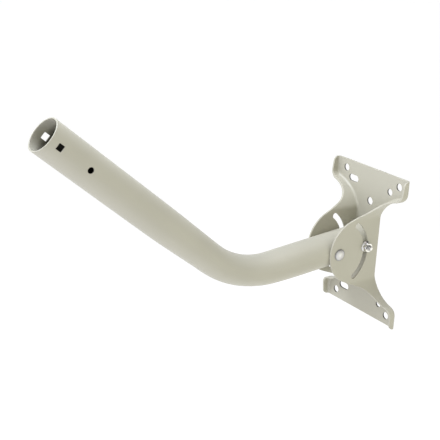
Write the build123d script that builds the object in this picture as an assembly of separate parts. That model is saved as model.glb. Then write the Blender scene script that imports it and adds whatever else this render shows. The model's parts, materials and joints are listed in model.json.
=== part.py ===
from build123d import *
import math
import os

# Antenna J-mount: a bent steel mast held between the ears of a pressed wall foot.
#
# Frame, in millimetres: the origin is the centre of the foot's back face, the face
# that lies on the wall. +Z is up, +Y points into the wall, and the mast stands out
# towards -Y. The two ears of the foot are mirror images across X = 0.

# ---------------------------------------------------------------- driving dimensions

# Mast: one length of round steel tube with a single bend.
mast_diameter = 41.3
mast_wall = 1.6
bend_angle = 45.0
bend_radius = 125.0
pivot_to_corner = 140.0        # along the lower leg, to where the two straight axes meet
corner_to_mouth = 316.0
mast_tail = 58.0               # from the pivot to the tube's lower end
outer_wall_draw = 2.6          # how far bending pulls the outer wall in
inner_wall_draw = 1.3
side_wall_spread = 1.0         # how far it pushes each side wall out
oval_ramp_low = (-40.0, 40.0)  # where the section turns oval, from the bend's lower end
oval_ramp_high = (-13.0, 95.0) # where it turns round again, from the bend's upper end
bend_sections = 24
rest_tilt = 5.3                # the lower leg hangs this far below level

# Holes across the mast, measured from the mouth or the pivot.
square_hole_size = 7.3
square_hole_from_mouth = 13.7
round_hole_diameter = 7.0
round_hole_from_mouth = 56.5
mouth_hole_roll = -3.3         # the two holes near the mouth are turned about the mast's axis
cross_bolt_hole_diameter = 6.95

# Foot: one pressed sheet, with a base plate and a flange that grows into the ears.
sheet = 2.3
inner_bend_radius = 3.2
plate_height = 196.85
lip_half_width = 67.1          # outer face of the short vertical lips
waist_half_width = 23.35       # outer face of the ears
flat_ear_height = 38.3         # the ears are flat this far above and below the pivot
flare_lean = 26.0              # how far the first part of the flare leans from the ear
flare_start_radius = 12.5
flare_radius = 47.8            # the long curve from there to the shoulder
shoulder_angle = 13.0          # slope of the flange between flare and lip
shoulder_height = 67.1         # height of that slope at shoulder_reach from the centre
shoulder_reach = 45.0
shoulder_radius = 12.0

# Free edge of the flange and the ears, seen from the side.
ear_nose_radius = 43.0
ear_nose_depth = 37.7          # centre of the nose arc, in front of the wall face
ear_edge_slope = 22.8
ear_fillet_radius = 32.0
flange_depth = 12.4            # flange edge to wall face, at flange_depth_height
flange_depth_height = 75.0
flange_taper = 6.2             # slope of the flange's edge, towards the plate's ends
lip_corner_radius = 6.5

# Pivot and clamp positions on the ears.
pivot_depth = 66.5
clamp_radius = 43.0
slot_width = 7.4
slot_end_angle = 51.5

# Fixing holes in the base plate.
corner_hole_diameter = 9.5
corner_hole_x = 49.3
corner_hole_z = 86.75
inner_hole_diameter = 8.7
inner_hole_x = 34.1
inner_hole_z = 76.0
inner_slot_length = 17.8
centre_hole_diameter = 10.0
centre_hole_z = 54.7

# Carriage bolts and flange nuts.
bolt_diameter = 6.3
bolt_length = 57.15
bolt_head_diameter = 15.0
bolt_head_height = 3.6
bolt_head_rim = 0.7
bolt_neck_size = 6.6
bolt_neck_length = 2.5
bolt_neck_corner = 0.6
bolt_end_chamfer = 0.8
neck_hole_size = 6.9
nut_across_flats = 11.1
nut_height = 6.2
nut_flange_diameter = 14.8
nut_flange_rim = 0.8
nut_flange_cone = 1.5
nut_bore_diameter = 6.4
nut_lead_in = 0.5              # countersink at the nut's outer end
nut_corner_drop = 1.4          # how far the turned corners start below that end
nut_turn = 12.0                # how the hexagon happens to stand on its bolt
seat_gap = 0.05                # under each bolt head and nut

# Cut edges of the sheet and the tube are slightly rounded. A join counts as an edge
# where its two faces turn by more than edge_turn degrees.
edge_rounding = 0.3
edge_turn = 35

# ---------------------------------------------------------------- derived places

outer_bend_radius = inner_bend_radius + sheet
ear_inner_face = waist_half_width - sheet
pivot = Vector(0, -pivot_depth, 0)
clamp = pivot + Vector(0, clamp_radius, 0).rotate(Axis.X, rest_tilt)
bend_tangent = bend_radius * math.tan(math.radians(bend_angle / 2))
bend_start = pivot_to_corner - bend_tangent
bend_length = math.radians(bend_angle) * bend_radius
bend_end = bend_start + bend_length
mouth = bend_end + corner_to_mouth - bend_tangent


def round_sharp_edges(solid):
    """The solid with its cut edges rounded, leaving tangent joins alone."""
    faces_at = {}
    for face in solid.faces():
        for edge in face.edges():
            faces_at.setdefault(edge, []).append(face)
    sharp = []
    for edge, faces in faces_at.items():
        if len(faces) == 2:
            middle = edge @ 0.5
            turn = faces[0].normal_at(middle).get_angle(faces[1].normal_at(middle))
            if turn > edge_turn:
                sharp.append(edge)
    return fillet(sharp, edge_rounding)


# ---------------------------------------------------------------- foot bracket

def meeting_point(first, second, inset):
    """Where two straight stretches of the flange's run meet, once both are moved inwards.

    A stretch is a point on it and its lean from the Z axis towards X, in degrees.
    """
    (x1, z1), lean1 = first
    (x2, z2), lean2 = second
    run1 = Vector(math.sin(math.radians(lean1)), math.cos(math.radians(lean1)))
    run2 = Vector(math.sin(math.radians(lean2)), math.cos(math.radians(lean2)))
    start1 = Vector(x1, z1) + Vector(-run1.Y, run1.X) * inset
    start2 = Vector(x2, z2) + Vector(-run2.Y, run2.X) * inset
    between = start2 - start1
    along = (between.X * run2.Y - between.Y * run2.X) / (run1.X * run2.Y - run1.Y * run2.X)
    return start1 + run1 * along


def flange_path(inset):
    """Run of the right-hand flange in the XZ plane, from the bottom lip to the top lip."""
    knee_height = flat_ear_height + flare_start_radius * math.tan(math.radians(flare_lean / 2))
    ear = ((waist_half_width, 0), 0)
    flare = ((waist_half_width, knee_height), flare_lean)
    shoulder = ((shoulder_reach, shoulder_height), 90 - shoulder_angle)
    lip = ((lip_half_width, 0), 0)
    upper = [meeting_point(ear, flare, inset), meeting_point(flare, shoulder, inset),
             meeting_point(shoulder, lip, inset), Vector(lip_half_width - inset, plate_height / 2)]
    lower = [Vector(corner.X, -corner.Y) for corner in reversed(upper)]
    bends = [flare_start_radius + inset, flare_radius + inset, shoulder_radius - inset]
    return FilletPolyline(*lower, *upper, radius=bends[::-1] + bends)


def hourglass(inset, overrun):
    """Face between the two flange paths, run on past the plate's ends by overrun."""
    right = flange_path(inset)
    left = mirror(right, about=Plane.YZ)
    half = plate_height / 2
    edge_x = lip_half_width - inset
    outline = right.edges() + left.edges()
    for end in (1, -1):
        near, far = end * half, end * (half + overrun)
        if overrun > 0:
            outline += [Line((edge_x, near), (edge_x, far)), Line((-edge_x, near), (-edge_x, far))]
        outline += [Line((-edge_x, far), (edge_x, far))]
    return make_face(outline)


def side_edges_at(solid, depth, end_height):
    """Edges of a prism that follow the flange paths at one depth."""
    def follows_path(edge):
        at_depth = abs(edge.center().Y - depth) < 0.001
        at_end = abs(abs(edge.center().Z) - end_height) < 0.001
        return at_depth and not at_end
    return solid.edges().filter_by(follows_path)


def folded_channel():
    """Base plate with an untrimmed flange along both sides, its folds rounded."""
    tall = pivot_depth + ear_nose_radius
    overrun = 5.0
    block = extrude(Plane.XZ * hourglass(0, 0), amount=tall, dir=(0, -1, 0))
    block = fillet(side_edges_at(block, 0, plate_height / 2), outer_bend_radius)
    room = extrude(Plane.XZ * hourglass(sheet, overrun), amount=tall, dir=(0, -1, 0))
    room = fillet(side_edges_at(room, 0, plate_height / 2 + overrun), inner_bend_radius)
    return block - Pos(0, -sheet, 0) * room


def free_edge_profile():
    """Side view of the foot: ears, flange and lips, as a face in the YZ plane."""
    slope = math.radians(ear_edge_slope)
    taper = math.tan(math.radians(flange_taper))
    top = plate_height / 2
    # The ear's straight edge leaves the nose arc as a tangent.
    nose_y = -ear_nose_depth - ear_nose_radius * math.sin(slope)
    nose_z = ear_nose_radius * math.cos(slope)
    # It would meet the flange's free edge here, where the large fillet is.
    lip_y = -flange_depth + taper * (top - flange_depth_height)
    steep = 1 / math.tan(slope)
    meet_z = (lip_y - taper * top - nose_y + steep * nose_z) / (steep - taper)
    meet_y = nose_y + steep * (meet_z - nose_z)
    behind = 1.0
    upper = FilletPolyline((behind, top), (lip_y, top), (meet_y, meet_z), (nose_y, nose_z),
                           radius=[lip_corner_radius, ear_fillet_radius])
    lower = mirror(upper, about=Plane.XZ)
    nose = ThreePointArc((nose_y, nose_z), (-ear_nose_depth - ear_nose_radius, 0), (nose_y, -nose_z))
    back = Line((behind, top), (behind, -top))
    return make_face(upper.edges() + lower.edges() + [nose, back])


def plate_holes():
    """Cutters for the fixing holes, all along Y."""
    holes = Sketch()
    for end in (1, -1):
        for side in (1, -1):
            holes += Pos(side * corner_hole_x, end * corner_hole_z) * Circle(corner_hole_diameter / 2)
        holes += Pos(inner_hole_x, end * inner_hole_z) * Circle(inner_hole_diameter / 2)
        holes += Pos(-inner_hole_x, end * inner_hole_z) * SlotOverall(inner_slot_length,
                                                                     inner_hole_diameter)
        holes += Pos(0, end * centre_hole_z) * Circle(centre_hole_diameter / 2)
    return extrude(Plane.XZ * holes, amount=3 * sheet, both=True)


def ear_holes():
    """Cutters through both ears, along X: the square pivot holes and the curved slots."""
    middle = (-pivot_depth, 0)
    square = Pos(*middle) * Rectangle(neck_hole_size, neck_hole_size)
    sweep_line = CenterArc(middle, clamp_radius, -slot_end_angle, 2 * slot_end_angle)
    slot = SlotArc(sweep_line, slot_width)
    return extrude(Plane.YZ * (square + slot), amount=2 * waist_half_width, both=True)


def foot_bracket():
    profile = extrude(Plane.YZ * free_edge_profile(), amount=2 * lip_half_width, both=True)
    trimmed = folded_channel() & profile
    return round_sharp_edges(trimmed - plate_holes() - ear_holes())


# ---------------------------------------------------------------- mast

def mast_frame(along):
    """Plane across the mast's axis at a distance from the pivot, before the rest tilt.

    Its X is the frame's X, and its Y points to the inside of the bend.
    """
    share = max(0.0, min(1.0, (along - bend_start) / bend_length))
    turned = math.radians(bend_angle) * share
    arc_centre = Vector(0, -bend_start, bend_radius)
    on_arc = arc_centre - Vector(0, math.sin(turned), math.cos(turned)) * bend_radius
    forward = Vector(0, -math.cos(turned), math.sin(turned))
    beyond = min(0.0, along - bend_start) + max(0.0, along - bend_end)
    return Plane(origin=on_arc + forward * beyond, x_dir=(1, 0, 0), z_dir=forward)


def ease(share):
    """Smooth step from 0 to 1 as share goes from 0 to 1."""
    share = max(0.0, min(1.0, share))
    return share * share * (3 - 2 * share)


def ovalness(along):
    """How far the section has changed from round, from 0 on the legs to 1 in the bend."""
    low_start, low_end = oval_ramp_low
    high_start, high_end = oval_ramp_high
    entering = (along - bend_start - low_start) / (low_end - low_start)
    leaving = (bend_end + high_end - along) / (high_end - high_start)
    return ease(entering) * ease(leaving)


def tube_body(radius):
    """Solid bar of the mast's shape, round on the legs and oval through the bend."""
    oval_start = bend_start + oval_ramp_low[0]
    oval_end = bend_end + oval_ramp_high[1]
    lower = extrude(mast_frame(-mast_tail) * Circle(radius), amount=mast_tail + oval_start)
    upper = extrude(mast_frame(oval_end) * Circle(radius), amount=mouth - oval_end)
    ovals = []
    for step in range(bend_sections + 1):
        along = oval_start + (oval_end - oval_start) * step / bend_sections
        change = ovalness(along)
        across = radius + side_wall_spread * change
        through = radius - (outer_wall_draw + inner_wall_draw) / 2 * change
        inward = (outer_wall_draw - inner_wall_draw) / 2 * change
        ovals.append(mast_frame(along) * Pos(0, inward) * Ellipse(across, through))
    return lower + loft(ovals) + upper


def cross_hole(along, shape, roll=0.0):
    """Cutter through both walls at a distance from the pivot, turned about the mast's axis."""
    place = mast_frame(along)
    sideways = place.x_dir.rotate(Axis((0, 0, 0), place.z_dir), roll)
    across = Plane(origin=place.origin, x_dir=place.z_dir, z_dir=sideways)
    return extrude(across * shape, amount=mast_diameter, both=True)


def mast_tube():
    tube = tube_body(mast_diameter / 2) - tube_body(mast_diameter / 2 - mast_wall)
    bolt_hole = Circle(cross_bolt_hole_diameter / 2)
    round_hole = Circle(round_hole_diameter / 2)
    square_hole = Rectangle(square_hole_size, square_hole_size)
    tube -= cross_hole(0, bolt_hole)
    tube -= cross_hole(-clamp_radius, bolt_hole)
    tube -= cross_hole(mouth - round_hole_from_mouth, round_hole, mouth_hole_roll)
    tube -= cross_hole(mouth - square_hole_from_mouth, square_hole, mouth_hole_roll)
    return Pos(*pivot) * (Rot(rest_tilt, 0, 0) * round_sharp_edges(tube))


# ---------------------------------------------------------------- bolts and nuts

def crown_arc(head_radius):
    """Arc from the rim of the bolt head to the middle of its crown, part of a sphere."""
    rise = bolt_head_height - bolt_head_rim
    sphere_radius = (head_radius ** 2 + rise ** 2) / (2 * rise)
    half_radius = head_radius / 2
    height_there = math.sqrt(sphere_radius ** 2 - half_radius ** 2) - (sphere_radius - rise)
    return ThreePointArc((head_radius, -bolt_head_rim),
                         (half_radius, -bolt_head_rim - height_there),
                         (0, -bolt_head_height))


def carriage_bolt():
    """Domed bolt along +Z, with the underside of its head at Z = 0."""
    head_radius = bolt_head_diameter / 2
    half_section = make_face([Line((0, 0), (head_radius, 0)),
                              Line((head_radius, 0), (head_radius, -bolt_head_rim)),
                              crown_arc(head_radius),
                              Line((0, -bolt_head_height), (0, 0))])
    head = revolve(Plane.XZ * half_section, Axis.Z)
    neck_section = RectangleRounded(bolt_neck_size, bolt_neck_size, bolt_neck_corner)
    neck = extrude(neck_section, amount=bolt_neck_length)
    shank = Pos(0, 0, bolt_length / 2) * Cylinder(bolt_diameter / 2, bolt_length)
    shank = chamfer(shank.edges().group_by(Axis.Z)[-1], bolt_end_chamfer)
    return head + neck + shank


def flange_nut():
    """Hexagon nut with a built-in washer flange, seated at Z = 0 and standing up +Z."""
    flange_radius = nut_flange_diameter / 2
    hex_radius = nut_across_flats / math.sqrt(3)
    bore_radius = nut_bore_diameter / 2
    cone_top = nut_flange_rim + nut_flange_cone
    half_flange = make_face(Polyline((0, 0), (flange_radius, 0), (flange_radius, nut_flange_rim),
                                     (nut_across_flats / 2, cone_top), (0, cone_top), (0, 0)))
    flange = revolve(Plane.XZ * half_flange, Axis.Z)
    hexagon = extrude(RegularPolygon(hex_radius, 6), amount=nut_height)
    # A cone turned off the outer end leaves the hexagon with arched flats.
    half_turning = make_face(Polyline((0, 0), (hex_radius, 0),
                                      (hex_radius, nut_height - nut_corner_drop),
                                      (nut_across_flats / 2, nut_height),
                                      (0, nut_height), (0, 0)))
    hexagon &= revolve(Plane.XZ * half_turning, Axis.Z)
    bore = Pos(0, 0, nut_height / 2) * Cylinder(bore_radius, 2 * nut_height)
    countersink = Pos(0, 0, nut_height - nut_lead_in / 2) * Cone(bore_radius,
                                                                 bore_radius + nut_lead_in,
                                                                 nut_lead_in)
    return Rot(0, 0, nut_turn) * (flange + hexagon - bore - countersink)


def facing(point, side, turn=0.0):
    """Location at a point on an ear's outer face, with local +Z towards side * X."""
    origin = Vector(side * (waist_half_width + seat_gap), point.Y, point.Z)
    upright = Vector(0, 0, 1).rotate(Axis.X, turn)
    return Location(Plane(origin=origin, x_dir=upright, z_dir=(side, 0, 0)))


def seated_bolt(point, head_side, turn=0.0):
    """Bolt whose head rests on the ear at head_side and whose shank crosses to the other ear."""
    return facing(point, head_side, turn) * (Rot(180, 0, 0) * carriage_bolt())


# ---------------------------------------------------------------- pieces

pieces = {
    "foot_bracket": foot_bracket(),
    "mast_tube": mast_tube(),
    "pivot_bolt": seated_bolt(pivot, 1),
    "pivot_nut": facing(pivot, -1) * flange_nut(),
    "clamp_bolt": seated_bolt(clamp, -1, rest_tilt),
    "clamp_nut": facing(clamp, 1, rest_tilt) * flange_nut(),
}

os.makedirs("parts", exist_ok=True)
for name, piece in pieces.items():
    export_step(piece, f"parts/{name}.step")
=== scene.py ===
"""Looks for an antenna mast mount: a bent steel mast held between the ears of a wall foot.

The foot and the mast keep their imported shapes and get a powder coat. The carriage bolts
and the flange nuts are built here in full, with threads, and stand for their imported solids.
Everything is in metres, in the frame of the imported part: the origin is the centre of the
foot's back face, +Y points into the wall and +Z is up.
"""

import json
import math

import bmesh
import bpy
from bpy.props import FloatProperty, FloatVectorProperty, IntProperty, PointerProperty
from mathutils import Euler, Matrix, Vector


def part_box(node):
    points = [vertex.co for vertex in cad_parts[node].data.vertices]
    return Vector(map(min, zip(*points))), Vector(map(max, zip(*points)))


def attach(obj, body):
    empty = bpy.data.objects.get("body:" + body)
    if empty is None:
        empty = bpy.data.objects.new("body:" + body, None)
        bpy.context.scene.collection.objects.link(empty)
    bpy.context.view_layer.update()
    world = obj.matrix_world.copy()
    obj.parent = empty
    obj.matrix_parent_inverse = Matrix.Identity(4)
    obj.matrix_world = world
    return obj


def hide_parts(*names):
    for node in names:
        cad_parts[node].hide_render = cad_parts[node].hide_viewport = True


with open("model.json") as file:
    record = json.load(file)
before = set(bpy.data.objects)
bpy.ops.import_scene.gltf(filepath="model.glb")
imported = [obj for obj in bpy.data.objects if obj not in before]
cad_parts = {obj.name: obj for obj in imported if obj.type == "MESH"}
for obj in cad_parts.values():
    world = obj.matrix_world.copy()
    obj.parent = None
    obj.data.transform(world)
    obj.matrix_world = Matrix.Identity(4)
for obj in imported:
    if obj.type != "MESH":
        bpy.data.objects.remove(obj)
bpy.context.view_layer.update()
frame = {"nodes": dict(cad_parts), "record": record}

bl_info = {
    "name": "Antenna mast mount",
    "version": (1, 0, 0),
    "blender": (4, 5, 0),
    "location": "View3D > Sidebar > Mast mount",
    "description": "Finishes and fasteners for a bent antenna mast on a wall foot",
    "category": "Object",
}

MM = 0.001
MIDDLE = Vector((0, -0.23, 0.05))  # what the softboxes face
LOWER_LEG_RUN = 46 * MM  # the lower leg is round this far past the pivot
FIXING_HOLE_LIMITS = (60 * MM, 2.6 * MM, 94 * MM)  # their furthest X, Y and Z from the origin

# One turn of a rolled thread, in shares of its pitch from the middle of a crest.
CREST_END, GROOVE_START = 1 / 16, 3 / 8
FLANK = GROOVE_START - CREST_END
FLANK_POINTS = tuple(CREST_END + FLANK * share for share in (0, 0.15, 0.5, 0.85, 1))
THREAD_SECTION = (0, *FLANK_POINTS, 0.5, *(1 - point for point in reversed(FLANK_POINTS)))
FLANK_ANGLE = math.radians(30)

# Sockets of a colour mix node.
MIX_SHARE, MIX_UNDER, MIX_OVER, MIX_RESULT = 0, 6, 7, 2

# Name, place, tint, diameter in metres and full power in watts of each softbox.
SOFTBOXES = (
    ("key_softbox", (-0.21, -0.60, 0.96), (0.78, 0.82, 1.00), 0.5, 9.6),
    ("top_softbox", (0.00, -0.25, 1.10), (0.80, 0.85, 1.00), 0.7, 6.0),
    ("front_softbox", (0.16, -1.15, -0.32), (0.62, 0.64, 1.00), 0.7, 2.8),
    ("wall_softbox", (0.86, 0.27, -0.09), (1.00, 1.00, 0.82), 0.92, 1.85),
    ("rear_softbox", (0.38, 0.09, 0.92), (1.00, 0.86, 0.86), 0.7, 1.2),
)


# ---------------------------------------------------------------- settings

class CoatSettings(bpy.types.PropertyGroup):
    """Powder coat of the foot and the mast."""

    colour: FloatVectorProperty(
        name="Colour", description="Main colour of the powder coat",
        subtype="COLOR", size=3, min=0, max=1, default=(0.427, 0.412, 0.320))
    # Pale colour along sharp edges: partly rubbed wear, partly a painted highlight on the edges.
    rub_and_sheen_colour: FloatVectorProperty(
        name="Pale colour", description="Colour where the coat is thin and rubbed, along edges",
        subtype="COLOR", size=3, min=0, max=1, default=(0.62, 0.60, 0.50))
    cloud_size: FloatProperty(
        name="Cloud size", description="Size of the faint light and dark clouds in the coat",
        unit="LENGTH", default=55 * MM, min=1 * MM)
    cloud_dimming: FloatProperty(
        name="Cloud dimming", description="How much darker the dark clouds are",
        default=0.045, min=0, max=1)
    speck_size: FloatProperty(
        name="Speck size", description="Size of the fine dark specks in the coat",
        unit="LENGTH", default=0.5 * MM, min=0.1 * MM, precision=5)
    speck_colour: FloatVectorProperty(
        name="Speck colour", description="Colour of the fine dark specks",
        subtype="COLOR", size=3, min=0, max=1, default=(0.20, 0.19, 0.15))
    speck_share: FloatProperty(
        name="Speck share", description="How much of the speck colour the darkest specks take",
        default=0.06, min=0, max=1)
    peel_size: FloatProperty(
        name="Peel size", description="Size of the orange peel ripples",
        unit="LENGTH", default=1.7 * MM, min=0.1 * MM)
    peel_height: FloatProperty(
        name="Peel height", description="Height of the orange peel ripples",
        unit="LENGTH", default=0.012 * MM, min=0, precision=6)
    wave_size: FloatProperty(
        name="Wave size", description="Size of the slow waves that pressing leaves in sheet",
        unit="LENGTH", default=24 * MM, min=1 * MM)
    wave_height: FloatProperty(
        name="Wave height", description="Height of the slow waves",
        unit="LENGTH", default=0.05 * MM, min=0, precision=6)
    # The band along sharp edges takes rubbed wear and a painted highlight. Its width is also the
    # radius of the rounded edges in the shading.
    edge_width: FloatProperty(
        name="Edge width", description="Width of the rubbed band along sharp edges",
        unit="LENGTH", default=0.7 * MM, min=0)
    # Least and most share of the pale colour along edges, which is rubbed wear and a painted
    # highlight.
    least_rub_and_sheen: FloatProperty(
        name="Least rubbed", description="How much of the pale colour the least rubbed edges take",
        default=0.1, min=0, max=1)
    most_rub_and_sheen: FloatProperty(
        name="Most rubbed", description="How much of the pale colour the most rubbed edges take",
        default=0.75, min=0, max=1)
    roughness: FloatProperty(
        name="Roughness", description="Mean roughness of the coat", default=0.42, min=0, max=1)
    roughness_swing: FloatProperty(
        name="Roughness swing", description="How far the roughness goes either side of its mean",
        default=0.05, min=0, max=1)
    tail_length: FloatProperty(
        name="Tail length", description="From the pivot to the mast's lower end",
        unit="LENGTH", default=58 * MM, min=0)
    # Near-black painted shade deep inside the mast's open ends: its colour, where it starts, how
    # long it takes to come in and how far it reaches into the mast's hole walls.
    bore_shade_colour: FloatVectorProperty(
        name="Bare colour", description="Dark mill scale inside the mast, where no powder lands",
        subtype="COLOR", size=3, min=0, max=1, default=(0.040, 0.036, 0.029))
    shade_start: FloatProperty(
        name="Coat reach", description="How far the powder reaches into an open end of the mast",
        unit="LENGTH", default=9 * MM, min=0)
    shade_fade: FloatProperty(
        name="Coat fade", description="Length over which the powder thins out in there",
        unit="LENGTH", default=12 * MM, min=0)
    shade_wall: FloatProperty(
        name="Bare wall",
        description="How much of the mast's hole walls stays bare, from the inside",
        unit="LENGTH", default=1.1 * MM, min=0)
    # Dark painted shade on the walls of the foot's fixing holes.
    hole_wall_shade_colour: FloatVectorProperty(
        name="Thin colour", description="Dull thin coat on the walls of the foot's fixing holes",
        subtype="COLOR", size=3, min=0, max=1, default=(0.105, 0.100, 0.080))


class ZincSettings(bpy.types.PropertyGroup):
    """Zinc plate on the bolts and nuts."""

    colour: FloatVectorProperty(
        name="Colour", description="Main colour of the zinc plate",
        subtype="COLOR", size=3, min=0, max=1, default=(0.68, 0.68, 0.68))
    tint: FloatVectorProperty(
        name="Tint", description="Colour of the warmer clouds in the plate",
        subtype="COLOR", size=3, min=0, max=1, default=(0.64, 0.62, 0.57))
    # Dark zinc colour for painted shade in thread grooves and round bolt heads' rims; bolt heads'
    # tops also take a little of it as a duller tone.
    shade_and_dull_colour: FloatVectorProperty(
        name="Groove colour",
        description="Colour of the dull zinc in thread grooves and round the bolt heads' rims",
        subtype="COLOR", size=3, min=0, max=1, default=(0.24, 0.24, 0.23))
    cloud_size: FloatProperty(
        name="Cloud size", description="Size of the warmer clouds",
        unit="LENGTH", default=3.2 * MM, min=0.1 * MM)
    roughness: FloatProperty(
        name="Roughness", description="Roughness of the plate", default=0.22, min=0, max=1)
    head_roughness: FloatProperty(
        name="Head roughness", description="Roughness of the duller, forged bolt heads",
        default=0.50, min=0, max=1)
    head_dulling: FloatProperty(
        name="Head dulling", description="How much of the groove colour a bolt head's top takes",
        default=0.12, min=0, max=1)
    # Dark painted contact shadow and dark reflection round a bolt head's rim, and where it starts.
    rim_shade: FloatProperty(
        name="Rim dulling", description="How much of the groove colour a bolt head's rim takes",
        default=0.90, min=0, max=1)
    rim_start: FloatProperty(
        name="Rim start", description="Share of a bolt head's radius where its dull rim starts",
        default=0.78, min=0, max=1)
    edge_radius: FloatProperty(
        name="Edge radius", description="Soft radius that plating leaves on sharp edges",
        unit="LENGTH", default=0.16 * MM, min=0, precision=5)
    scratch_height: FloatProperty(
        name="Scratch height", description="Height of the fine scratches",
        unit="LENGTH", default=0.002 * MM, min=0, precision=6)
    dent_size: FloatProperty(
        name="Dent size", description="Size of the small dents from tumbling",
        unit="LENGTH", default=1.4 * MM, min=0.1 * MM)
    dent_height: FloatProperty(
        name="Dent height", description="Height of the small dents",
        unit="LENGTH", default=0.018 * MM, min=0, precision=6)


class BoltSettings(bpy.types.PropertyGroup):
    """Carriage bolt: domed head, square neck, plain shank and a threaded end."""

    length: FloatProperty(
        name="Length", description="From under the head to the end",
        unit="LENGTH", default=57.15 * MM)
    diameter: FloatProperty(
        name="Diameter", description="Across the shank and the thread's crests",
        unit="LENGTH", default=6.3 * MM)
    head_diameter: FloatProperty(
        name="Head diameter", description="Across the domed head",
        unit="LENGTH", default=15.0 * MM)
    head_height: FloatProperty(
        name="Head height", description="From the seat to the top of the dome",
        unit="LENGTH", default=3.6 * MM)
    head_rim: FloatProperty(
        name="Head rim", description="Height of the straight rim below the dome",
        unit="LENGTH", default=0.7 * MM)
    head_edge: FloatProperty(
        name="Head edge", description="Radius of the soft edges at the head's rim",
        unit="LENGTH", default=0.22 * MM, precision=5)
    neck_size: FloatProperty(
        name="Neck size", description="Across the flats of the square neck",
        unit="LENGTH", default=6.6 * MM)
    neck_corner: FloatProperty(
        name="Neck corner", description="Radius of the neck's corners",
        unit="LENGTH", default=0.6 * MM)
    neck_length: FloatProperty(
        name="Neck length", description="Length of the square neck",
        unit="LENGTH", default=2.5 * MM)
    thread_length: FloatProperty(
        name="Thread length", description="Length of the threaded end",
        unit="LENGTH", default=19.0 * MM)
    pitch: FloatProperty(
        name="Pitch", description="Distance from one turn of the thread to the next",
        unit="LENGTH", default=1.27 * MM)
    end_chamfer: FloatProperty(
        name="End chamfer", description="Chamfer at the threaded end",
        unit="LENGTH", default=0.8 * MM)
    end_dish: FloatProperty(
        name="End dish", description="Depth of the shallow dish that rolling leaves in the end",
        unit="LENGTH", default=0.2 * MM, precision=5)
    segments: IntProperty(
        name="Segments", description="Mesh columns round the bolt", default=72, min=24)


class NutSettings(bpy.types.PropertyGroup):
    """Hexagon nut with a built-in washer flange."""

    across_flats: FloatProperty(
        name="Across flats", description="Width of the hexagon",
        unit="LENGTH", default=11.1 * MM)
    height: FloatProperty(
        name="Height", description="Whole height of the nut",
        unit="LENGTH", default=6.2 * MM)
    flange_diameter: FloatProperty(
        name="Flange diameter", description="Across the washer flange",
        unit="LENGTH", default=14.8 * MM)
    flange_rim: FloatProperty(
        name="Flange rim", description="Height of the flange's straight rim",
        unit="LENGTH", default=0.8 * MM)
    flange_edge: FloatProperty(
        name="Flange edge", description="Radius of the soft edges at the flange's rim",
        unit="LENGTH", default=0.2 * MM, precision=5)
    flange_cone: FloatProperty(
        name="Flange cone", description="Height of the cone between rim and flats",
        unit="LENGTH", default=1.5 * MM)
    bore: FloatProperty(
        name="Bore", description="Diameter of the bore between the thread's grooves",
        unit="LENGTH", default=6.4 * MM)
    groove_depth: FloatProperty(
        name="Groove depth", description="Depth of the thread's grooves in the bore",
        unit="LENGTH", default=0.45 * MM)
    pitch: FloatProperty(
        name="Pitch", description="Distance from one turn of the thread to the next",
        unit="LENGTH", default=1.27 * MM)
    lead_in: FloatProperty(
        name="Lead-in", description="Countersink at each end of the bore",
        unit="LENGTH", default=0.5 * MM)
    corner_drop: FloatProperty(
        name="Corner drop", description="How far the turned corners start below the end",
        unit="LENGTH", default=1.4 * MM)
    turn: FloatProperty(
        name="Turn", description="How the hexagon happens to stand on its bolt",
        subtype="ANGLE", default=math.radians(12))
    segments: IntProperty(
        name="Segments", description="Mesh columns round the nut, a multiple of 12",
        default=120, min=24, step=12)


class StageSettings(bpy.types.PropertyGroup):
    """Floor, lights and camera."""

    floor_drop: FloatProperty(
        name="Floor drop", description="How far the floor lies below the part's frame",
        unit="LENGTH", default=0.60)
    floor_reach: FloatProperty(
        name="Floor reach", description="How far the floor reaches from the middle to each side",
        unit="LENGTH", default=12.0)
    floor_colour: FloatVectorProperty(
        name="Floor colour", description="Colour of the floor",
        subtype="COLOR", size=3, min=0, max=1, default=(0.30, 0.30, 0.30))
    horizon_light: FloatProperty(
        name="Horizon light", description="Strength of the room's light near the horizon",
        default=1.0, min=0)
    floor_glow: FloatProperty(
        name="Floor glow", description="Light that the floor's lit acrylic gives by itself",
        default=0.84, min=0)
    front_light: FloatProperty(
        name="Front light", description="Strength of the room's light from in front",
        default=0.93, min=0)
    back_light: FloatProperty(
        name="Back light", description="Strength of the room's light from behind the foot",
        default=0.12, min=0)
    lamp_power: FloatProperty(
        name="Lamp power", description="Share of their full power that the softboxes give",
        default=1.0, min=0)
    camera_place: FloatVectorProperty(
        name="Camera place", description="Where the camera stands",
        subtype="TRANSLATION", unit="LENGTH", size=3, default=(0.8587, -0.8158, 0.4293))
    camera_azimuth: FloatProperty(
        name="Camera azimuth", description="Turn of the view about +Z, where 0 looks along +Y",
        subtype="ANGLE", default=math.radians(55.827))
    camera_drop: FloatProperty(
        name="Camera drop", description="How far the view points below level",
        subtype="ANGLE", default=math.radians(19.332))
    camera_roll: FloatProperty(
        name="Camera roll", description="Roll of the camera about its line of sight",
        subtype="ANGLE", default=math.radians(2.531))
    lens: FloatProperty(
        name="Lens", description="Focal length for a sensor 36 mm wide",
        unit="CAMERA", default=78.219)


class MountSettings(bpy.types.PropertyGroup):
    """All settings of the mast mount."""

    coat: PointerProperty(type=CoatSettings)
    zinc: PointerProperty(type=ZincSettings)
    bolt: PointerProperty(type=BoltSettings)
    nut: PointerProperty(type=NutSettings)
    stage: PointerProperty(type=StageSettings)


# ---------------------------------------------------------------- material helpers

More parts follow.
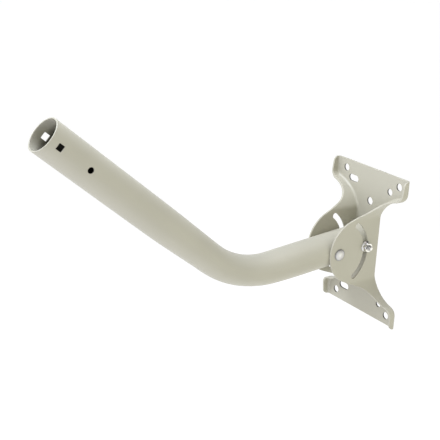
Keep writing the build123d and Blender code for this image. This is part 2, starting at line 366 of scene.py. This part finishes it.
class Finish:
    """A new node material, with short calls to add nodes and join them."""

    def __init__(self, name):
        self.material = bpy.data.materials.new(name)
        self.material.use_nodes = True
        self.tree = self.material.node_tree
        self.tree.nodes.clear()
        self.shader = self.add("ShaderNodeBsdfPrincipled")
        output = self.add("ShaderNodeOutputMaterial")
        self.join(self.shader, "BSDF", output, "Surface")
        self.place = self.add("ShaderNodeTexCoord")

    def add(self, kind, inputs=None, **settings):
        """Adds a node, with its settings and the values of its unlinked inputs."""
        made = self.tree.nodes.new(kind)
        for name, value in settings.items():
            setattr(made, name, value)
        for name, value in (inputs or {}).items():
            made.inputs[name].default_value = value
        return made

    def join(self, source, output, target, socket):
        """Joins a node's output to another node's socket."""
        self.tree.links.new(source.outputs[output], target.inputs[socket])

    def noise(self, size, detail, stretch=(1, 1, 1)):
        """Noise whose lumps measure about `size` metres, longer where `stretch` is above 1."""
        mapping = self.add("ShaderNodeMapping",
                           {"Scale": tuple(1 / (size * part) for part in stretch)})
        self.join(self.place, "Object", mapping, "Vector")
        cloud = self.add("ShaderNodeTexNoise", {"Scale": 1.0, "Detail": detail})
        self.join(mapping, "Vector", cloud, "Vector")
        return cloud

    def spread(self, source, output, low, high, start, end):
        """Maps start..end of a value to low..high."""
        ranged = self.add("ShaderNodeMapRange", {"From Min": start, "From Max": end,
                                                 "To Min": low, "To Max": high})
        self.join(source, output, ranged, "Value")
        return ranged

    def clouds(self, size, detail, low=0.0, high=1.0, start=0.3, end=0.7):
        """Noise that goes from low to high, where the noise itself goes from start to end."""
        return self.spread(self.noise(size, detail), "Fac", low, high, start, end)

    def mix(self, share, under, over, share_output=0):
        """Lays the colour `over` on another by a node's output. The colour `under` is three
        numbers or an earlier mix."""
        mixed = self.add("ShaderNodeMix", {MIX_OVER: (*over, 1)}, data_type="RGBA")
        self.join(share, share_output, mixed, MIX_SHARE)
        if isinstance(under, bpy.types.Node):
            self.join(under, MIX_RESULT, mixed, MIX_UNDER)
        else:
            mixed.inputs[MIX_UNDER].default_value = (*under, 1)
        return mixed

    def product(self, first, *others):
        """Multiplies the first outputs of the given nodes."""
        for other in others:
            both = self.add("ShaderNodeMath", operation="MULTIPLY")
            self.join(first, 0, both, 0)
            self.join(other, 0, both, 1)
            first = both
        return first

    def bumps(self, size, detail, height, under=None, stretch=(1, 1, 1)):
        """Bumps that measure `size` across and `height` up in metres, laid over another node's
        normal."""
        bumped = self.add("ShaderNodeBump", {"Strength": 1.0, "Distance": height})
        self.join(self.noise(size, detail, stretch), "Fac", bumped, "Height")
        if under:
            self.join(under, "Normal", bumped, "Normal")
        return bumped

    def rounded(self, radius):
        """Normal of the surface as if its sharp edges were rounded."""
        return self.add("ShaderNodeBevel", {"Radius": radius}, samples=6)

    def edge_band(self, rounded):
        """1 where the rounded normal leaves the true one, along sharp edges, and 0 elsewhere."""
        full_edge = 0.86  # cosine between the two normals on a sharp edge
        surface = self.add("ShaderNodeNewGeometry")
        match = self.add("ShaderNodeVectorMath", operation="DOT_PRODUCT")
        self.join(rounded, "Normal", match, 0)
        self.join(surface, "Normal", match, 1)
        return self.spread(match, "Value", 0.0, 1.0, start=1.0, end=full_edge)


def settings():
    """All settings of the mast mount in this scene."""
    return bpy.context.scene.mast_mount


def dimmed(colour, share):
    """The colour, made darker by a share of itself."""
    return tuple((1 - share) * part for part in colour)


def powder_coat(name, open_ends=(), hole_limits=None):
    """Warm grey powder coat with orange peel, faint clouds, specks, and a pale band along edges
    that is partly rubbed wear and partly a painted highlight. Inside a tube with open ends it
    turns to near-black painted shade, and the walls of holes along Y that are within the hole
    limits get a dark painted shade."""
    coat = settings().coat
    finish = Finish(name)
    shader = finish.shader

    clouds = finish.clouds(coat.cloud_size, detail=3)
    surface = finish.mix(clouds, coat.colour, dimmed(coat.colour, coat.cloud_dimming))
    specks = finish.clouds(coat.speck_size, detail=1, high=coat.speck_share, start=0.55, end=0.8)
    surface = finish.mix(specks, surface, coat.speck_colour)
    # Pale band along sharp edges, in patches: rubbed wear and a painted highlight.
    rounded = finish.rounded(coat.edge_width)
    patches = finish.clouds(size=6 * MM, detail=3, low=coat.least_rub_and_sheen, high=coat.most_rub_and_sheen)
    rubbed = finish.product(finish.edge_band(rounded), patches)
    surface = finish.mix(rubbed, surface, coat.rub_and_sheen_colour)
    # Near-black painted shade deep inside each open end of the mast.
    for end in open_ends:
        surface = finish.mix(bore_shade(finish, *end), surface, coat.bore_shade_colour)
    # Dark painted shade on the walls of the foot's fixing holes.
    if hole_limits:
        surface = finish.mix(hole_wall_shade(finish, hole_limits), surface, coat.hole_wall_shade_colour)
    finish.join(surface, MIX_RESULT, shader, "Base Color")

    gloss = finish.clouds(size=9 * MM, detail=2, low=coat.roughness - coat.roughness_swing,
                          high=coat.roughness + coat.roughness_swing)
    finish.join(gloss, "Result", shader, "Roughness")

    waves = finish.bumps(coat.wave_size, 1, coat.wave_height, under=rounded)
    peel = finish.bumps(coat.peel_size, 2, coat.peel_height, under=waves)
    finish.join(peel, "Normal", shader, "Normal")
    shader.inputs["IOR"].default_value = 1.5
    return finish.material


def bore_shade(finish, mouth, inward, radius, length):
    """Share of painted shade inside a round bore that starts at mouth and runs along inward. The
    shade's start is ragged, and it ends before the bore's far end."""
    coat = settings().coat
    wall_fade, end_fade = 0.1 * MM, 2 * MM
    from_mouth = finish.add("ShaderNodeVectorMath", {1: mouth}, operation="SUBTRACT")
    finish.join(finish.place, "Object", from_mouth, 0)
    depth = finish.add("ShaderNodeVectorMath", {1: inward}, operation="DOT_PRODUCT")
    finish.join(from_mouth, "Vector", depth, 0)
    off_axis = finish.add("ShaderNodeVectorMath", {1: inward}, operation="CROSS_PRODUCT")
    finish.join(from_mouth, "Vector", off_axis, 0)
    distance = finish.add("ShaderNodeVectorMath", operation="LENGTH")
    finish.join(off_axis, "Vector", distance, 0)

    # Noise that makes the start of the painted shade ragged.
    shade_noise = finish.noise(size=7 * MM, detail=3)
    raggedness = 0.5 * coat.shade_fade
    ragged = finish.add("ShaderNodeMath", {1: raggedness}, operation="MULTIPLY_ADD")
    finish.join(shade_noise, "Fac", ragged, 0)
    finish.join(depth, "Value", ragged, 2)
    fade_start = coat.shade_start + raggedness / 2
    # Painted shade comes in from this depth.
    thin = finish.spread(ragged, "Value", 0, 1, fade_start, fade_start + coat.shade_fade)
    wall = radius + coat.shade_wall
    within = finish.spread(distance, "Value", 1, 0, wall, wall + wall_fade)
    before_end = finish.spread(depth, "Value", 1, 0, length - end_fade, length)
    return finish.product(thin, within, before_end)


def hole_wall_shade(finish, limits):
    """1 on walls along Y that are within the limits, and 0 elsewhere; these walls get a dark
    painted shade. The limits are the furthest X, Y and Z from the origin, and the mask fades out
    just before them."""
    place = finish.add("ShaderNodeSeparateXYZ")
    finish.join(finish.place, "Object", place, "Vector")
    facing = finish.add("ShaderNodeSeparateXYZ")
    finish.join(finish.place, "Normal", facing, "Vector")
    steepest = 0.35  # a wall along Y has less of its normal along Y than this
    fade_from = 0.97  # share of each limit at which the mask starts to fade
    masks = []
    for source, axis, limit in zip((place, place, place, facing), "XYZY", (*limits, steepest)):
        size = finish.add("ShaderNodeMath", operation="ABSOLUTE")
        finish.join(source, axis, size, 0)
        masks.append(finish.spread(size, "Value", 1, 0, fade_from * limit, limit))
    return finish.product(*masks)


def zinc_plate():
    """Bright zinc plate with faint tints, fine scratches, painted shade in thread grooves, duller
    bolt heads and a painted contact shadow round the heads' rims.
    """
    name = "zinc_plate"
    if name in bpy.data.materials:
        return bpy.data.materials[name]
    zinc = settings().zinc
    finish = Finish(name)
    shader = finish.shader
    shader.inputs["Metallic"].default_value = 1.0

    clouds = finish.clouds(zinc.cloud_size, detail=3)
    surface = finish.mix(clouds, zinc.colour, zinc.tint)
    # The groove attribute sets painted shade in thread grooves and round bolt heads' rims, and the
    # heads' duller tone.
    groove = finish.add("ShaderNodeAttribute", attribute_name="groove")
    surface = finish.mix(groove, surface, zinc.shade_and_dull_colour, share_output="Fac")
    finish.join(surface, MIX_RESULT, shader, "Base Color")

    polish, haze = 0.06, 0.10  # how far fine grain takes the roughness down and up
    gloss = finish.clouds(size=0.35 * MM, detail=3, low=zinc.roughness - polish,
                          high=zinc.roughness + haze)
    head = finish.add("ShaderNodeAttribute", attribute_name="head")
    dull = finish.add("ShaderNodeMath", {1: zinc.head_roughness - zinc.roughness},
                      operation="MULTIPLY_ADD")
    finish.join(head, "Fac", dull, 0)
    finish.join(gloss, "Result", dull, 2)
    finish.join(dull, "Value", shader, "Roughness")

    rounded = finish.rounded(zinc.edge_radius)
    scratches = finish.bumps(0.12 * MM, 1, zinc.scratch_height, under=rounded,
                             stretch=(14, 1, 1))
    dents = finish.bumps(zinc.dent_size, 2, zinc.dent_height, under=scratches)
    finish.join(dents, "Normal", shader, "Normal")
    return finish.material


def floor_paint():
    """Pale matt floor with a faint mottle and a glow of its own."""
    finish = Finish("floor_paint")
    shader = finish.shader
    pale = settings().stage.floor_colour
    mottle = finish.clouds(size=400 * MM, detail=2)
    surface = finish.mix(mottle, pale, dimmed(pale, share=0.015))
    finish.join(surface, MIX_RESULT, shader, "Base Color")
    grain = finish.bumps(size=2 * MM, detail=1, height=0.03 * MM)
    finish.join(grain, "Normal", shader, "Normal")
    shader.inputs["Roughness"].default_value = 0.9
    shader.inputs["Specular IOR Level"].default_value = 0.2
    shader.inputs["Emission Color"].default_value = (1, 1, 1, 1)
    shader.inputs["Emission Strength"].default_value = settings().stage.floor_glow
    finish.material.cycles.emission_sampling = "NONE"  # too wide for rays to be aimed at it
    return finish.material


# ---------------------------------------------------------------- mesh helpers

class Skin:
    """A mesh built from rings of points, with one column of points per step round its axis."""

    def __init__(self, columns):
        self.mesh = bmesh.new()
        # Share of the dark zinc colour: painted shade in thread grooves and round bolt heads'
        # rims, and the heads' duller tone.
        self.groove = self.mesh.verts.layers.float.new("groove")
        self.head = self.mesh.verts.layers.float.new("head")
        self.columns = columns
        self.angles = [math.tau * column / columns for column in range(columns)]

    def point(self, radius, angle, height, groove=0.0):
        """Point round the axis, with how deep in a groove it lies, from 0 to 1."""
        made = self.mesh.verts.new((radius * math.cos(angle), radius * math.sin(angle), height))
        made[self.groove] = groove
        return made

    def ring(self, radius, height):
        """Ring of points. Radius and height are numbers, or functions of the angle."""
        return [self.point(radius(angle) if callable(radius) else radius, angle,
                           height(angle) if callable(height) else height)
                for angle in self.angles]

    def strip(self, first, second):
        """Faces between two rings."""
        for column in range(self.columns):
            after = (column + 1) % self.columns
            self.mesh.faces.new((first[column], first[after], second[after], second[column]))

    def strips(self, rings):
        """Faces between each ring and the next."""
        for first, second in zip(rings, rings[1:]):
            self.strip(first, second)

    def cap(self, ring, height):
        """Fan of triangles from a ring to a point on the axis."""
        centre = self.point(0, 0, height)
        for column in range(self.columns):
            self.mesh.faces.new((ring[(column + 1) % self.columns], ring[column], centre))

    def thread(self, start, end, pitch, radius_at):
        """Wall that follows a helix from start to end. radius_at gives the radius, and how deep
        in a groove the point lies, for a share of the pitch and a height."""
        turns = math.ceil((end - start) / pitch) + 1
        columns = []
        for column in range(self.columns + 1):
            angle = math.tau * column / self.columns
            line = []
            for turn in range(-1, turns):
                for share in THREAD_SECTION:
                    height = start + pitch * (turn + column / self.columns + share)
                    clamped = min(max(height, start), end)
                    radius, groove = radius_at(share, clamped)
                    line.append(self.point(radius, angle, clamped, groove))
            columns.append(line)
        for line, after in zip(columns, columns[1:]):
            for low in range(len(line) - 1):
                corners = (line[low], after[low], after[low + 1], line[low + 1])
                self.mesh.faces.new(corners)

    def plated(self, name, sharp_angle):
        """Joins points that coincide, and makes the object with the zinc plate on it. Edges
        that turn by more than the sharp angle, in degrees, stay sharp."""
        bmesh.ops.remove_doubles(self.mesh, verts=self.mesh.verts, dist=0.002 * MM)
        bmesh.ops.dissolve_degenerate(self.mesh, edges=self.mesh.edges, dist=0.001 * MM)
        bmesh.ops.recalc_face_normals(self.mesh, faces=self.mesh.faces)
        data = bpy.data.meshes.new(name)
        self.mesh.to_mesh(data)
        self.mesh.free()
        data.polygons.foreach_set("use_smooth", [True] * len(data.polygons))
        data.set_sharp_from_angle(angle=math.radians(sharp_angle))
        data.materials.append(zinc_plate())
        return add_object(name, data)


def add_object(name, data):
    """A new object in the scene."""
    made = bpy.data.objects.new(name, data)
    bpy.context.scene.collection.objects.link(made)
    return made


def arc(centre, radius, start, end, steps):
    """Points (x, y) on an arc between two angles in degrees."""
    for step in range(steps + 1):
        angle = math.radians(start + (end - start) * step / steps)
        yield centre[0] + radius * math.cos(angle), centre[1] + radius * math.sin(angle)


def thread_shape(share):
    """Share of the thread's depth at a share of its pitch: 0 on the crest, 1 in the groove."""
    offset = min(share % 1, 1 - share % 1)
    return min(max((offset - CREST_END) / FLANK, 0), 1)


def rounded_square(half, corner):
    """Radius of a square with rounded corners, as a function of the angle."""
    inner = half - corner

    def radius(angle):
        turned = abs((angle + math.pi / 4) % (math.pi / 2) - math.pi / 4)
        if half * math.tan(turned) <= inner:
            return half / math.cos(turned)
        along = math.cos(turned) + math.sin(turned)
        room = corner ** 2 - inner ** 2 * (2 - along ** 2)
        return inner * along + math.sqrt(max(room, 0))
    return radius


def hexagon(apothem):
    """Radius of a hexagon with a corner at angle 0, as a function of the angle."""
    def radius(angle):
        return apothem / math.cos((angle % (math.pi / 3)) - math.pi / 6)
    return radius


# ---------------------------------------------------------------- fasteners

def carriage_bolt(name):
    """Carriage bolt along +Z, with the underside of its head at Z = 0."""
    bolt = settings().bolt
    skin = Skin(bolt.segments)
    head, shank = bolt.head_diameter / 2, bolt.diameter / 2

    # Crown from one step off its top to just inside the rim, and the rim with its soft edges.
    crown = bolt.head_height - bolt.head_rim
    crown_radius = (head ** 2 + crown ** 2) / (2 * crown)
    reach = math.degrees(math.asin(head / crown_radius))
    steps = 14
    edge = bolt.head_edge
    profile = (*arc((0, crown_radius - bolt.head_height), crown_radius,
                    start=-90 + reach / steps, end=-90 + reach * (1 - 0.25 / steps),
                    steps=steps - 1),
               *arc((head - edge, -bolt.head_rim), edge, start=-50, end=0, steps=3),
               *arc((head - edge, -edge), edge, start=0, end=90, steps=4))
    rings = [skin.ring(radius, height) for radius, height in profile]
    skin.strips(rings)
    skin.cap(rings[0], -bolt.head_height)

    # Square neck that turns round towards its end, and the plain shank. Heights are in neck
    # lengths.
    square = rounded_square(bolt.neck_size / 2, bolt.neck_corner)

    def between(roundness):
        return lambda angle: (1 - roundness) * square(angle) + roundness * shank
    neck = [rings[-1], skin.ring(square, 0)]
    for roundness, height in ((0, 0.85), (0.25, 0.93), (0.7, 1.04), (1, 1.15)):
        neck.append(skin.ring(between(roundness), height * bolt.neck_length))
    thread_start = bolt.length - bolt.thread_length
    neck.append(skin.ring(shank, thread_start))
    skin.strips(neck)

    # Thread that runs in from the shank and ends in a chamfer, and the dished end.
    groove_depth = bolt.pitch * FLANK / math.tan(FLANK_ANGLE)
    run_in = 1.6 * bolt.pitch
    chamfer_start = bolt.length - bolt.end_chamfer

    def wall(share, height):
        # How deep in a groove, which also sets the painted shade there.
        groove = thread_shape(share) * min((height - thread_start) / run_in, 1)
        limit = shank - max(height - chamfer_start, 0)
        return min(shank - groove_depth * groove, limit), groove
    skin.thread(thread_start, bolt.length, bolt.pitch, wall)
    tip = shank - bolt.end_chamfer
    end = [skin.ring(tip, bolt.length), skin.ring(0.72 * tip, bolt.length),
           skin.ring(0.45 * tip, bolt.length - 0.7 * bolt.end_dish)]
    skin.strips(end)
    skin.cap(end[-1], bolt.length - bolt.end_dish)
    mark_head_and_rim_shade(skin, head)
    return skin.plated(name, sharp_angle=38)


def mark_head_and_rim_shade(skin, head_radius):
    """Marks a bolt's head, the part below Z = 0, as forged, gives its top a duller tone, and
    towards its rim paints a dark contact shadow and a dark reflection.
    """
    zinc = settings().zinc
    for vertex in skin.mesh.verts:
        if vertex.co.z < 0:
            # The painted contact shadow and dark reflection grow from the rim start outward.
            outward = vertex.co.xy.length / head_radius
            share = min(max((outward - zinc.rim_start) / (1 - zinc.rim_start), 0), 1)
            vertex[skin.head] = 1
            vertex[skin.groove] = (1 - share) * zinc.head_dulling + share * zinc.rim_shade


def flange_nut(name):
    """Flange nut seated at Z = 0 and standing up +Z."""
    nut = settings().nut
    skin = Skin(nut.segments)
    apothem = nut.across_flats / 2
    corner = apothem / math.cos(math.pi / 6)
    flange, bore = nut.flange_diameter / 2, nut.bore / 2
    side = hexagon(apothem)
    edge = nut.flange_edge
    low, high = nut.lead_in, nut.height - nut.lead_in

    def cone_height(angle):
        run = (flange - side(angle)) / (flange - apothem)
        return nut.flange_rim + nut.flange_cone * run

    def corner_height(angle):
        run = (side(angle) - apothem) / (corner - apothem)
        return nut.height - nut.corner_drop * run

    profile = ((bore + nut.lead_in, 0),
               *arc((flange - edge, edge), edge, start=-90, end=0, steps=4),
               *arc((flange - edge, nut.flange_rim - edge), edge, start=0, end=50, steps=3),
               (side, cone_height),
               (side, corner_height),
               (apothem, nut.height),
               (bore + nut.lead_in, nut.height),
               (bore, high))
    skin.strips([skin.ring(radius, height) for radius, height in profile])
    skin.strip(skin.ring(bore + nut.lead_in, 0), skin.ring(bore, low))

    run_out = 0.5 * nut.pitch

    def wall(share, height):
        fade = min((height - low) / run_out, (high - height) / run_out, 1)
        # How deep in a groove, which also sets the painted shade there.
        groove = thread_shape(share) * max(fade, 0)
        return bore + nut.groove_depth * groove, groove
    skin.thread(low, high, nut.pitch, wall)
    return skin.plated(name, sharp_angle=28)


def seat(node, side, inward, turn):
    """Place on an ear's outer face, on the axis of a packed fastener. Side is the ear's, 1 for
    +X. Local +Z points away from the ear, or through it if inward."""
    low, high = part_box(node)
    middle = (low + high) / 2
    if inward:
        height = settings().bolt.head_height
        seat_x = high.x - height if side > 0 else low.x + height
    else:
        seat_x = low.x if side > 0 else high.x
    along = Vector((-side if inward else side, 0, 0))
    upright = Matrix.Rotation(turn, 3, "X") @ Vector((0, 0, 1))
    across = along.cross(upright)
    turned = Matrix((upright, across, along)).transposed().to_4x4()
    return Matrix.Translation((seat_x, middle.y, middle.z)) @ turned


def fastener_axis(node):
    """Point where a packed fastener's axis crosses the middle plane."""
    low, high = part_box(node)
    return Vector((0, (low.y + high.y) / 2, (low.z + high.z) / 2))


def clamp_turn():
    """How far the row of bolts is turned from level."""
    row = fastener_axis("clamp_bolt") - fastener_axis("pivot_bolt")
    return math.atan2(row.z, row.y)


def fasten(piece, node, body, place):
    """Puts a built fastener in its place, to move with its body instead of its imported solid."""
    piece.matrix_world = place
    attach(piece, body)
    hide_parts(node)


# ---------------------------------------------------------------- operators

class MAST_MOUNT_OT_coat_foot(bpy.types.Operator):
    """Gives the foot bracket its powder coat"""

    bl_idname = "mast_mount.coat_foot"
    bl_label = "Coat the foot bracket"

    def execute(self, context):
        coat = powder_coat("powder_coat_foot", hole_limits=FIXING_HOLE_LIMITS)
        coat_node("foot_bracket", coat)
        return {"FINISHED"}


class MAST_MOUNT_OT_coat_mast(bpy.types.Operator):
    """Gives the bent mast its powder coat"""

    bl_idname = "mast_mount.coat_mast"
    bl_label = "Coat the mast"

    def execute(self, context):
        coat_node("mast_tube", powder_coat("powder_coat_mast", mast_ends()))
        return {"FINISHED"}


class MAST_MOUNT_OT_add_bolts(bpy.types.Operator):
    """Builds the pivot bolt and the clamp bolt"""

    bl_idname = "mast_mount.add_bolts"
    bl_label = "Add the carriage bolts"

    def execute(self, context):
        fasten(carriage_bolt("pivot_carriage_bolt"), "pivot_bolt", "foot",
               seat("pivot_bolt", 1, True, 0))
        fasten(carriage_bolt("clamp_carriage_bolt"), "clamp_bolt", "mast",
               seat("clamp_bolt", -1, True, clamp_turn()))
        return {"FINISHED"}


class MAST_MOUNT_OT_add_nuts(bpy.types.Operator):
    """Builds the two flange nuts"""

    bl_idname = "mast_mount.add_nuts"
    bl_label = "Add the flange nuts"

    def execute(self, context):
        spin = Matrix.Rotation(settings().nut.turn, 4, "Z")
        fasten(flange_nut("pivot_flange_nut"), "pivot_nut", "pivot_nut",
               seat("pivot_nut", -1, False, 0) @ spin)
        fasten(flange_nut("clamp_flange_nut"), "clamp_nut", "clamp_nut",
               seat("clamp_nut", 1, False, clamp_turn()) @ spin)
        return {"FINISHED"}


class MAST_MOUNT_OT_set_stage(bpy.types.Operator):
    """Lays the floor and sets the lights and the camera"""

    bl_idname = "mast_mount.set_stage"
    bl_label = "Set the stage"

    def execute(self, context):
        stage = settings().stage
        lay_floor()
        light_room()
        for name, place, tint, size, power in SOFTBOXES:
            hang_softbox(name, place, tint, size, power * stage.lamp_power)
        set_camera()
        return {"FINISHED"}


def coat_node(name, coat):
    """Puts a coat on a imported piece."""
    if name not in frame["nodes"]:
        raise RuntimeError(f"the packed part has no piece named {name}")
    for material_slot in frame["nodes"][name].material_slots:
        material_slot.material = coat


def mast_ends():
    """Mouth, inward direction, radius and length of the bore at each end of the mast."""
    bore = next(mount for mount in frame["record"]["mounts"] if mount["name"] == "mast_bore")
    radius, length = bore["dims"]["r_mm"] * MM, bore["dims"]["length_mm"] * MM
    outward = Vector(bore["axis"]).normalized()
    mouth = Vector(bore["pos_m"]) + outward * length / 2
    pivot, clamp = fastener_axis("pivot_bolt"), fastener_axis("clamp_bolt")
    up_the_leg = (pivot - clamp).normalized()
    tail = settings().coat.tail_length
    return ((mouth, -outward, radius, length),
            (pivot - up_the_leg * tail, up_the_leg, radius, tail + LOWER_LEG_RUN))


def lay_floor():
    """Wide floor, far enough below the part to keep its shadow faint."""
    stage = settings().stage
    cells = 8
    shape = bmesh.new()
    bmesh.ops.create_grid(shape, x_segments=cells, y_segments=cells, size=stage.floor_reach,
                          matrix=Matrix.Translation((0, 0, -stage.floor_drop)))
    data = bpy.data.meshes.new("studio_floor")
    shape.to_mesh(data)
    shape.free()
    data.materials.append(floor_paint())
    add_object("studio_floor", data)


def light_room():
    """Soft white light as in a tent that is open behind the mount: bright in front, dim behind,
    and white all round near the horizon, where it meets the floor."""
    stage = settings().stage
    world = bpy.data.worlds.new("studio_light")
    world.use_nodes = True
    tree = world.node_tree
    background = tree.nodes["Background"]
    background.inputs["Color"].default_value = (1, 1, 1, 1)
    direction = tree.nodes.new("ShaderNodeTexCoord")
    split = tree.nodes.new("ShaderNodeSeparateXYZ")
    tree.links.new(direction.outputs["Generated"], split.inputs[0])

    def ranged(axis, start, end, low, high):
        """Goes from low to high where that part of the direction goes from start to end."""
        made = tree.nodes.new("ShaderNodeMapRange")
        made.interpolation_type = "SMOOTHSTEP"
        for name, value in (("From Min", start), ("From Max", end),
                            ("To Min", low), ("To Max", high)):
            made.inputs[name].default_value = value
        tree.links.new(split.outputs[axis], made.inputs["Value"])
        return made
    canopy = ranged("Y", start=-0.55, end=0.35, low=stage.front_light, high=stage.back_light)
    strength = ranged("Z", start=0.22, end=0.34, low=stage.horizon_light, high=0.0)
    tree.links.new(canopy.outputs["Result"], strength.inputs["To Max"])
    tree.links.new(strength.outputs["Result"], background.inputs["Strength"])
    bpy.context.scene.world = world
    bpy.context.scene.view_settings.view_transform = "Standard"


def hang_softbox(name, place, tint, size, power):
    """Round softbox that faces the middle of the mount."""
    lamp = bpy.data.lights.new(name, "AREA")
    lamp.shape = "DISK"
    lamp.size = size
    lamp.color = tint
    lamp.energy = power
    box = add_object(name, lamp)
    box.location = place
    box.visible_camera = False
    aim = MIDDLE - box.location
    box.rotation_euler = aim.to_track_quat("-Z", "Y").to_euler()


def set_camera():
    """Puts up the camera and makes it the scene's own."""
    stage = settings().stage
    data = bpy.data.cameras.new("studio_camera")
    data.sensor_width = 36
    data.lens = stage.lens
    data.clip_start = 0.01
    data.clip_end = 100
    camera = add_object("studio_camera", data)
    aim = Euler((math.pi / 2 - stage.camera_drop, 0, stage.camera_azimuth), "XYZ").to_matrix()
    roll = Matrix.Rotation(stage.camera_roll, 3, "Z")
    camera.matrix_world = Matrix.Translation(stage.camera_place) @ (aim @ roll).to_4x4()
    bpy.context.scene.camera = camera


# ---------------------------------------------------------------- panel and registration

STEPS = (
    MAST_MOUNT_OT_coat_foot,
    MAST_MOUNT_OT_coat_mast,
    MAST_MOUNT_OT_add_bolts,
    MAST_MOUNT_OT_add_nuts,
    MAST_MOUNT_OT_set_stage,
)


class MAST_MOUNT_PT_sidebar(bpy.types.Panel):
    """Lists the mount's pieces and their settings"""

    bl_idname = "MAST_MOUNT_PT_sidebar"
    bl_label = "Mast mount"
    bl_space_type = "VIEW_3D"
    bl_region_type = "UI"
    bl_category = "Mast mount"

    def draw(self, context):
        for step in STEPS:
            self.layout.operator(step.bl_idname)
        for group in MountSettings.__annotations__:
            box = self.layout.box()
            box.label(text=group.capitalize())
            chosen = getattr(context.scene.mast_mount, group)
            for name in chosen.__annotations__:
                box.prop(chosen, name)


CLASSES = (CoatSettings, ZincSettings, BoltSettings, NutSettings, StageSettings, MountSettings,
           *STEPS, MAST_MOUNT_PT_sidebar)


def register():
    """Registers the settings, the operators and the panel."""
    for kind in CLASSES:
        bpy.utils.register_class(kind)
    bpy.types.Scene.mast_mount = PointerProperty(type=MountSettings)


def unregister():
    """Takes back what register did."""
    del bpy.types.Scene.mast_mount
    for kind in reversed(CLASSES):
        bpy.utils.unregister_class(kind)


def main():
    """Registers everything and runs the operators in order."""
    register()
    bpy.ops.mast_mount.coat_foot()
    bpy.ops.mast_mount.coat_mast()
    bpy.ops.mast_mount.add_bolts()
    bpy.ops.mast_mount.add_nuts()
    bpy.ops.mast_mount.set_stage()


if __name__ == "__main__":
    main()
